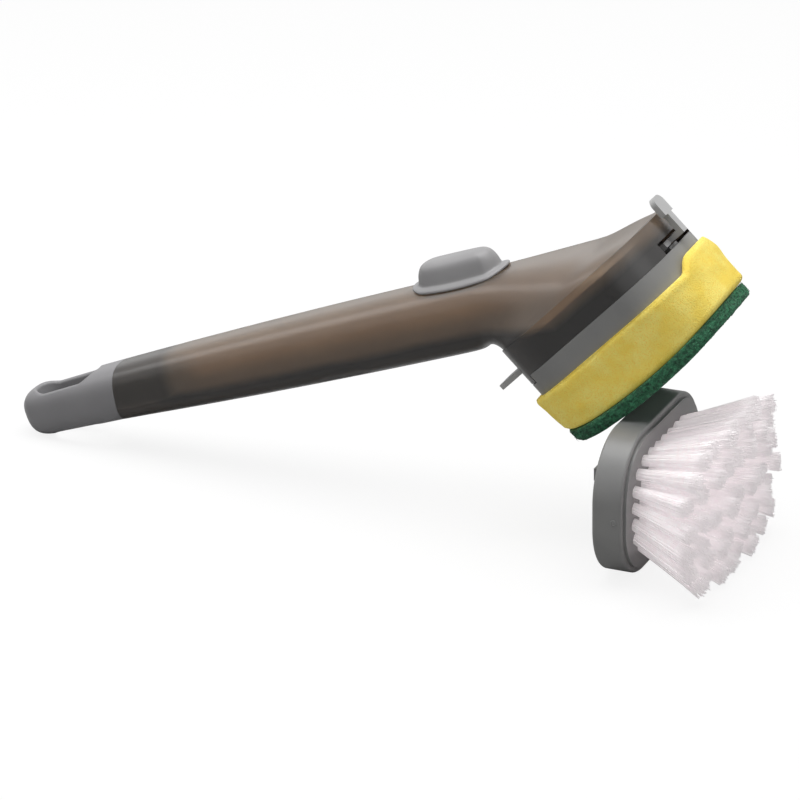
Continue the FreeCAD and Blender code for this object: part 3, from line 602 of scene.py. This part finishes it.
def foamBlock():
    # rings from the top's middle over the rim, down the drawn-in side and back to the middle below
    inner = spongeOutline(sponge["room"], sponge["room"], sponge["corner"] + sponge["room"])
    outer = spongeOutline(sponge["ahead"], sponge["aside"], sponge["corner"])
    normal = outwardOf(outer)
    end = sponge["plate"][0] + sponge["ahead"]
    start, full = sponge["lipRun"]
    rise = np.clip((start - end + outer[:, 0]) / (start - full), 0, 1)
    crest = sponge["top"] + sponge["crest"] + sponge["lip"] * rise ** 2 * (3 - 2 * rise)
    foot = bowed(sponge["bottom"], outer[:, 0])
    floor = np.full(len(inner), sponge["top"])
    draw = sponge["drawIn"] * (1 - sponge["straight"] * np.clip(outer[:, :1] / end, 0, 1) ** 3)
    rows = [(inner * share, floor) for share in sponge["well"]]
    for out, depth in sponge["rim"]:
        rows.append((inner * (1 - out) + outer * out, np.maximum(crest - depth, floor)))
    (upperShare, upperDeep), (lowerShare, lowerDeep) = sponge["upperRound"], sponge["lowerRound"]
    upperDraw, lowerDraw = sponge["drawShares"]
    first, span = sponge["sideSpan"]
    for share in np.linspace(0, 1, sponge["sideRings"]):
        upper = 1 - min(share / upperShare, 1)
        lower = max((share - 1 + lowerShare) / lowerShare, 0)
        pull = upperDraw * min(share * 2, 1) + lowerDraw * max(share * 2 - 1, 0)
        ring = outer - normal * (pull * draw + upperDeep * upper ** 2 + lowerDeep * lower ** 2)
        rows.append((ring, crest + (foot - crest) * (first + span * share)))
    for shrink in sponge["under"]:
        ring = (outer - normal * draw) * shrink
        rows.append((ring, bowed(sponge["bottom"], ring[:, 0])))
    grid = np.stack([np.concatenate([ring, level[:, None]], 1) for ring, level in rows])
    sway = ripple(grid, sponge["waverSize"], sponge["seed"]) * sponge["waver"]
    sway[:len(sponge["well"]) + len(sponge["rim"])] = 0  # only the side wavers
    sway[-1 - len(sponge["under"]):] = 0
    grid[..., :2] += normal * sway[..., None]
    return closedForm("foam_block", inSponge(grid), foamYellow)


foam = smoother(foamBlock(), 1)
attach(foam, "sponge_head")
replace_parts(foam, "sponge_block")
print("foam made")

# scouring pad: a stiff felt bonded to the foam, with loose fibres
pad = {
    "proud": 1.0,
    "thick": 5.1,
    "round": 0.8,
    "roundFrom": 0.6,  # share of the edge where the rounding starts
    "groove": (0.15, 0.3),  # share of the edge that is drawn in at the foam, and how deep
    "bonded": (0.4, 0.75, 0.97),  # rings of the bonded face, as shares of its outline
    "edgeRings": 14,
    "face": (0.97, 0.93, 0.87, 0.8, 0.7, 0.6, 0.48, 0.36, 0.22, 0.1),
    "rough": 0.2,
    "roughSpan": (-0.5, 0.3),
    "faceRough": 0.8,
    "seed": 11,
    "fibres": 2600,
    "fibreRadius": 0.055,
    "fibreLength": (0.6, 1.7),
    "fibreLift": (0.05, 0.2),
    "fibreDepth": 0.1,
    "fibreSteps": 6,
    "fibreSides": 3,
    "fibreSeed": 5,
    "bareEdge": (3, 4),  # rings without fibres at the start and the end of the edge, and of the face
    "bareFace": (2, 2),
}
edgeStart = len(pad["bonded"])
faceStart = edgeStart + pad["edgeRings"]


def padRings():
    # rings over the bonded face, down the edge and in again over the scouring face
    outer = spongeOutline(pad["proud"], pad["proud"], sponge["corner"])
    normal = outwardOf(outer)
    rows = [(shrink, 0.0, 0.0) for shrink in pad["bonded"]]
    grooveShare, grooveDeep = pad["groove"]
    for share in np.linspace(0, 1, pad["edgeRings"]):
        rounding = max(0, (share - pad["roundFrom"]) / (1 - pad["roundFrom"]))
        groove = max(0, 1 - share / grooveShare)
        rows.append((1.0, pad["round"] * rounding ** 2 + grooveDeep * groove, share))
    rows += [(shrink, pad["round"], 1.0) for shrink in pad["face"]]
    rings = []
    for shrink, inset, share in rows:
        ring = (outer - normal * inset) * shrink
        top = bowed(sponge["bottom"], ring[:, 0])
        low = bowed(sponge["bottom"] - pad["thick"], ring[:, 0])
        rings.append(np.concatenate([ring, (top + (low - top) * share)[:, None]], 1))
    return np.stack(rings), normal


def scourPad():
    # the rings, roughened at random along the edge and over the face
    grid, normal = padRings()
    rough = np.random.default_rng(pad["seed"]).normal(size=grid.shape[:2]) * pad["rough"]
    grid[edgeStart:-1, :, :2] += normal * np.clip(rough[edgeStart:-1], *pad["roughSpan"])[..., None]
    grid[faceStart:, :, 2] += np.abs(rough[faceStart:]) * pad["faceRough"]
    return closedForm("scour_felt", inSponge(grid), scourGreen)


def tubes(paths, radii, sides, turns, steep=0.9):
    # a small regular polygon carried along each path, square to it, closed at both ends
    count, steps = paths.shape[:2]
    way = np.gradient(paths, axis=1)
    way /= np.linalg.norm(way, axis=2, keepdims=True)
    helper = np.where(np.abs(way[..., 2:]) < steep, np.array([0.0, 0.0, 1.0]), np.array([1.0, 0.0, 0.0]))
    across = np.cross(way, helper)
    across /= np.linalg.norm(across, axis=2, keepdims=True)
    up = np.cross(way, across)
    angle = (np.linspace(0, fullTurn, sides, endpoint=False) + turns[:, None])[:, None, :, None]
    ring = across[:, :, None] * np.cos(angle) + up[:, :, None] * np.sin(angle)
    points = paths[:, :, None] + ring * radii[:, :, None, None]
    index = np.arange(count * steps * sides).reshape(count, steps, sides)
    right = np.roll(index, -1, axis=2)
    quads = np.stack([index[:, :-1], index[:, 1:], right[:, 1:], right[:, :-1]], axis=-1).reshape(-1, 4)
    ends = np.concatenate([index[:, 0], index[:, -1, ::-1]])
    return points.reshape(-1, 3), quads.tolist() + ends.tolist()


def padFibres():
    # short curls that leave the felt's edge and face at a low angle and bend back
    grid, normal = padRings()
    pick = np.random.default_rng(pad["fibreSeed"])
    count = pad["fibres"]
    (edgeSkip, edgeEnd), (faceSkip, faceEnd) = pad["bareEdge"], pad["bareFace"]
    hairy = np.r_[edgeStart + edgeSkip:faceStart - edgeEnd, faceStart + faceSkip:len(grid) - faceEnd]
    row = pick.choice(hairy, count)
    column = pick.integers(0, grid.shape[1], count)
    root = grid[row, column]
    outward = np.concatenate([normal[column], np.zeros((count, 1))], 1)
    outward[row >= faceStart] = [0, 0, -1]
    drift = pick.normal(size=root.shape)
    drift -= outward * (drift * outward).sum(1, keepdims=True)
    drift /= np.linalg.norm(drift, axis=1, keepdims=True)
    long = pick.uniform(*pad["fibreLength"], (count, 1, 1))
    share = np.linspace(0, 1, pad["fibreSteps"])[None, :, None]
    lift = pick.uniform(*pad["fibreLift"], (count, 1, 1))
    arch = lift * np.sin(math.pi * share) - pad["fibreDepth"]
    paths = root[:, None] + drift[:, None] * long * share + outward[:, None] * arch
    radii = np.full(paths.shape[:2], pad["fibreRadius"])
    points, faces = tubes(paths, radii, pad["fibreSides"], pick.uniform(0, anyTurn, count))
    return newPiece("scour_fibres", inSponge(points), faces, scourGreen)


felt = smoother(scourPad(), 1)
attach(felt, "sponge_head")
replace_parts(felt, "scour_pad")
curls = padFibres()
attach(curls, "sponge_head")
print("scouring pad made")

# bristles: every tuft is a bundle of fine filaments, tight at the root and flared at the cut
brush = {
    "half": (38.4, 26.5),
    "corner": 22.0,
    "face": -12.0,
    "inset": 10.0,
    "step": 7.0,
    "rows": (26, 18, 5),
    "linePoints": 5200,
    "splay": (30.4, 16.3, 18.0, 13.5),  # near, far, up and down, in degrees
    "restShare": 0.8,  # tufts lower than this share of the half width touch the table
    "length": 30.5,
    "depth": 2.0,
    "ragged": 1.6,
    "raggedTurn": 2.4,
    "root": 1.92,
    "tip": 3.5,
    "flare": 1.5,
    "filaments": 110,
    "thickness": 0.165,
    "steps": 6,
    "sides": 4,
    "goldenTurn": 2.39996,
    "spotJitter": 0.04,
    "turnJitter": 0.12,
    "cutSlope": 0.35,
    "cutJitter": 0.3,
    "cutBack": 0.3,
    "bow": 0.22,
}


def tuftRow(inset, count):
    # even steps round the plate's outline, drawn in, from the low end of its near straight edge
    (length, width), corner = brush["half"], brush["corner"]
    line = evenOutline(length - inset, width - inset, corner - inset, brush["linePoints"])
    first = int(np.argmin(np.hypot(line[:, 0] - (length - inset), line[:, 1] + (width - corner))))
    return np.roll(line, -first, axis=0)[np.arange(count) * brush["linePoints"] // count]


def tuftSpine(count):
    # a straight row in the middle, two steps short of the outer row
    reach = brush["half"][0] - brush["inset"] - 2 * brush["step"]
    return np.stack([np.linspace(-reach, reach, count), np.zeros(count)], 1)


def tuftWays(places):
    # the tufts lean outward in step with their place on the plate
    near, far, above, below = np.tan(np.radians(brush["splay"]))
    length, width = brush["half"]
    across = places[:, 0] / (length - brush["inset"])
    upward = places[:, 1] / (width - brush["inset"])
    lean = np.stack([
        np.where(across > 0, near, far) * across,
        np.where(upward > 0, above, below) * upward,
        np.full(len(places), -1.0),
    ], 1)
    return lean / np.linalg.norm(lean, axis=1, keepdims=True)


def tuftBundle(name, places, numbers, seed):
    # sunflower places in the root, jittered, carried out to the flare along slightly bowed paths
    pick = np.random.default_rng(seed)
    tufts, each = len(places), brush["filaments"]
    way = tuftWays(places)
    side = np.cross(way, [0.0, 1.0, 0.0])
    side /= np.linalg.norm(side, axis=1, keepdims=True)
    other = np.cross(way, side)
    count = np.arange(each)
    radius = np.sqrt((count + 0.5) / each) + pick.normal(0, brush["spotJitter"], (tufts, each))
    angle = count * brush["goldenTurn"] + pick.uniform(0, anyTurn, (tufts, 1))
    angle = angle + pick.normal(0, brush["turnJitter"], (tufts, each))
    spot = np.stack([radius * np.cos(angle), radius * np.sin(angle)], -1)
    slope = pick.normal(0, brush["cutSlope"], (tufts, 1, 2))  # the cut is not quite square
    long = brush["length"] + brush["ragged"] * np.sin(brush["raggedTurn"] * numbers)[:, None]
    long = long + (spot * slope).sum(-1)
    long = long + pick.normal(0, brush["cutJitter"], (tufts, each)) - brush["cutBack"]
    share = np.linspace(0, 1, brush["steps"])
    spread = brush["root"] + (brush["tip"] - brush["root"]) * share ** brush["flare"]
    bow = pick.normal(0, brush["bow"], (tufts, each, 1, 2)) * (share ** 2)[:, None]
    flat = spot[:, :, None] * spread[:, None] + bow
    run = -brush["depth"] + (long[..., None] + brush["depth"]) * share
    root = np.concatenate([places, np.full((tufts, 1), brush["face"])], 1)
    paths = (root[:, None, None] + way[:, None, None] * run[..., None]
             + side[:, None, None] * flat[..., :1] + other[:, None, None] * flat[..., 1:])
    paths = inBrush(paths.reshape(tufts * each, len(share), 3))
    paths[..., 2] = np.maximum(paths[..., 2], brush["thickness"] * mm)  # none goes into the table
    radii = np.full(paths.shape[:2], brush["thickness"] * mm)
    points, faces = tubes(paths, radii, brush["sides"], pick.uniform(0, anyTurn, tufts * each))
    bundle = newPiece(name, points, faces, bristleWhite)
    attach(bundle, "brush_head")
    return bundle


outerCount, middleCount, centreCount = brush["rows"]
outerRow = tuftRow(brush["inset"], outerCount)
middleRow = tuftRow(brush["inset"] + brush["step"], middleCount)
centreRow = tuftSpine(centreCount)
resting = outerRow[:, 1] < -(brush["half"][1] - brush["inset"]) * brush["restShare"]
numbers = np.arange(outerCount)
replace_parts(tuftBundle("bristles_rest", outerRow[resting], numbers[resting], 21), "tufts_rest")
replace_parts(tuftBundle("bristles_outer", outerRow[~resting], numbers[~resting], 22), "tufts_outer")
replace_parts(tuftBundle("bristles_middle", middleRow, np.arange(middleCount), 23), "tufts_middle")
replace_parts(tuftBundle("bristles_centre", centreRow, np.arange(centreCount), 24), "tufts_centre")
print("bristles made")

# gate mark: a low ring with a pip, left by the mould on the near end of the spare plate
gate = {
    "place": (38.4, -0.6, -8.1),
    "around": 24,
    # radius and height of each circle
    "rings": (
        (1.15, -0.3),
        (1.15, 0.1),
        (0.95, 0.22),
        (0.7, 0.16),
        (0.5, 0.04),
        (0.36, 0.08),
        (0.26, 0.26),
        (0.1, 0.32),
    ),
}


def gateMark():
    # circles of the ring's profile, turned about the plate's length
    radius, height = (column[:, None] for column in np.array(gate["rings"]).T)
    turn = np.linspace(0, fullTurn, gate["around"], endpoint=False)
    along, across, level = gate["place"]
    grid = np.stack([
        along + height + 0 * turn,
        across + radius * np.cos(turn),
        level + radius * np.sin(turn),
    ], -1)
    return closedForm("gate_mark", inBrush(grid), plastics["grey_plastic"])


mark = gateMark()
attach(mark, "brush_head")
print("gate mark made")

# stage and light, in metres and watts
stage = {"floor": 6.0, "drop": 0.0002, "floorSeen": 0.92, "floorLit": 0.36, "glow": 0.86, "world": 0.2}
lamps = {
    # place, aim, size and power
    "top_box": ((-0.05, 0.1, 1.1), (0.0, 0.0, 0.05), (1.3, 0.9), 15.0),
    "side_box": ((0.9, -0.7, 0.7), (0.08, 0.0, 0.05), (0.7, 0.7), 1.0),
    "tail_box": ((-0.95, -0.32, 0.83), (0.0, 0.0, 0.05), (0.6, 0.6), 2.0),
}


def seenBy(tree, *kinds):
    # 1 for rays of the kinds named, 0 for all others
    outputs = tree.nodes.new("ShaderNodeLightPath").outputs
    seen = Link(tree, outputs[kinds[0]])
    for kind in kinds[1:]:
        seen = seen.most(Link(tree, outputs[kind]))
    return seen


def evenGrey(level):
    return (level, level, level, 1.0)


def floorFinish():
    # white to the eye and through the smoke, greyer in reflections and for the light that it throws back
    finish = Finish("floor_white", {"Roughness": 0.9})
    tree = finish.material.node_tree
    seen = seenBy(tree, "Is Camera Ray", "Is Transmission Ray")
    finish.feed("Base Color", seen.blend(evenGrey(stage["floorLit"]), evenGrey(stage["floorSeen"])))
    glow = seen.make("ShaderNodeEmission", {}, {"Color": evenGrey(1.0), "Strength": 1.0}, "Emission")
    surface = {0: seen * stage["glow"], 1: Link(tree, finish.shader.outputs["BSDF"]), 2: glow}
    mixed = seen.make("ShaderNodeMixShader", {}, surface)
    tree.links.new(mixed.socket, tree.nodes["Material Output"].inputs["Surface"])
    return finish.material


def whiteRoom():
    # white to the eye, in reflections and through the smoke, dim for the light that it gives
    room = bpy.data.worlds.new("white_room")
    room.use_nodes = True
    tree = room.node_tree
    sky = tree.nodes["Background"]
    sky.inputs["Color"].default_value = evenGrey(1.0)
    seen = seenBy(tree, "Is Camera Ray", "Is Glossy Ray", "Is Transmission Ray")
    strength = seen * (1 - stage["world"]) + stage["world"]
    tree.links.new(strength.socket, sky.inputs["Strength"])
    return room


def softBox(name, place, aim, size, power):
    light = bpy.data.lights.new(name, "AREA")
    light.shape = "RECTANGLE"
    light.size, light.size_y = size
    light.energy = power
    lamp = bpy.data.objects.new(name, light)
    lamp.location = place
    lamp.rotation_euler = (Vector(aim) - Vector(place)).to_track_quat("-Z", "Y").to_euler()
    scene.collection.objects.link(lamp)


half, low = stage["floor"] / 2, -stage["drop"]
floorCorners = [(-half, -half, low), (half, -half, low), (half, half, low), (-half, half, low)]
floor = newPiece("floor", floorCorners, [(0, 1, 2, 3)], floorFinish(), smooth=False)
scene.world = whiteRoom()
for name, lamp in lamps.items():
    softBox(name, *lamp)

# camera, at the photograph's viewing angle
camera = {
    "azimuth": 22.0,
    "elevation": 23.0,
    "distance": 1.3,
    "lens": 160.27,
    "sensor": 36.0,
    "clip": (0.05, 50.0),
    "toHead": (0.07867, 0.0, 0.04912),  # from the point that it looks at to the head's origin
}
turn, rise = math.radians(camera["azimuth"]), math.radians(camera["elevation"])
back = np.array([math.sin(turn) * math.cos(rise), -math.cos(turn) * math.cos(rise), math.sin(rise)])
lens = bpy.data.cameras.new("photo_camera")
lens.lens = camera["lens"]
lens.sensor_width = camera["sensor"]
lens.clip_start, lens.clip_end = camera["clip"]
viewer = bpy.data.objects.new("photo_camera", lens)
viewer.location = headOrigin - np.array(camera["toHead"]) + back * camera["distance"]
viewer.rotation_euler = Vector(-back).to_track_quat("-Z", "Y").to_euler()
scene.collection.objects.link(viewer)
scene.camera = viewer
scene.view_settings.view_transform = "Standard"
print("stage set")
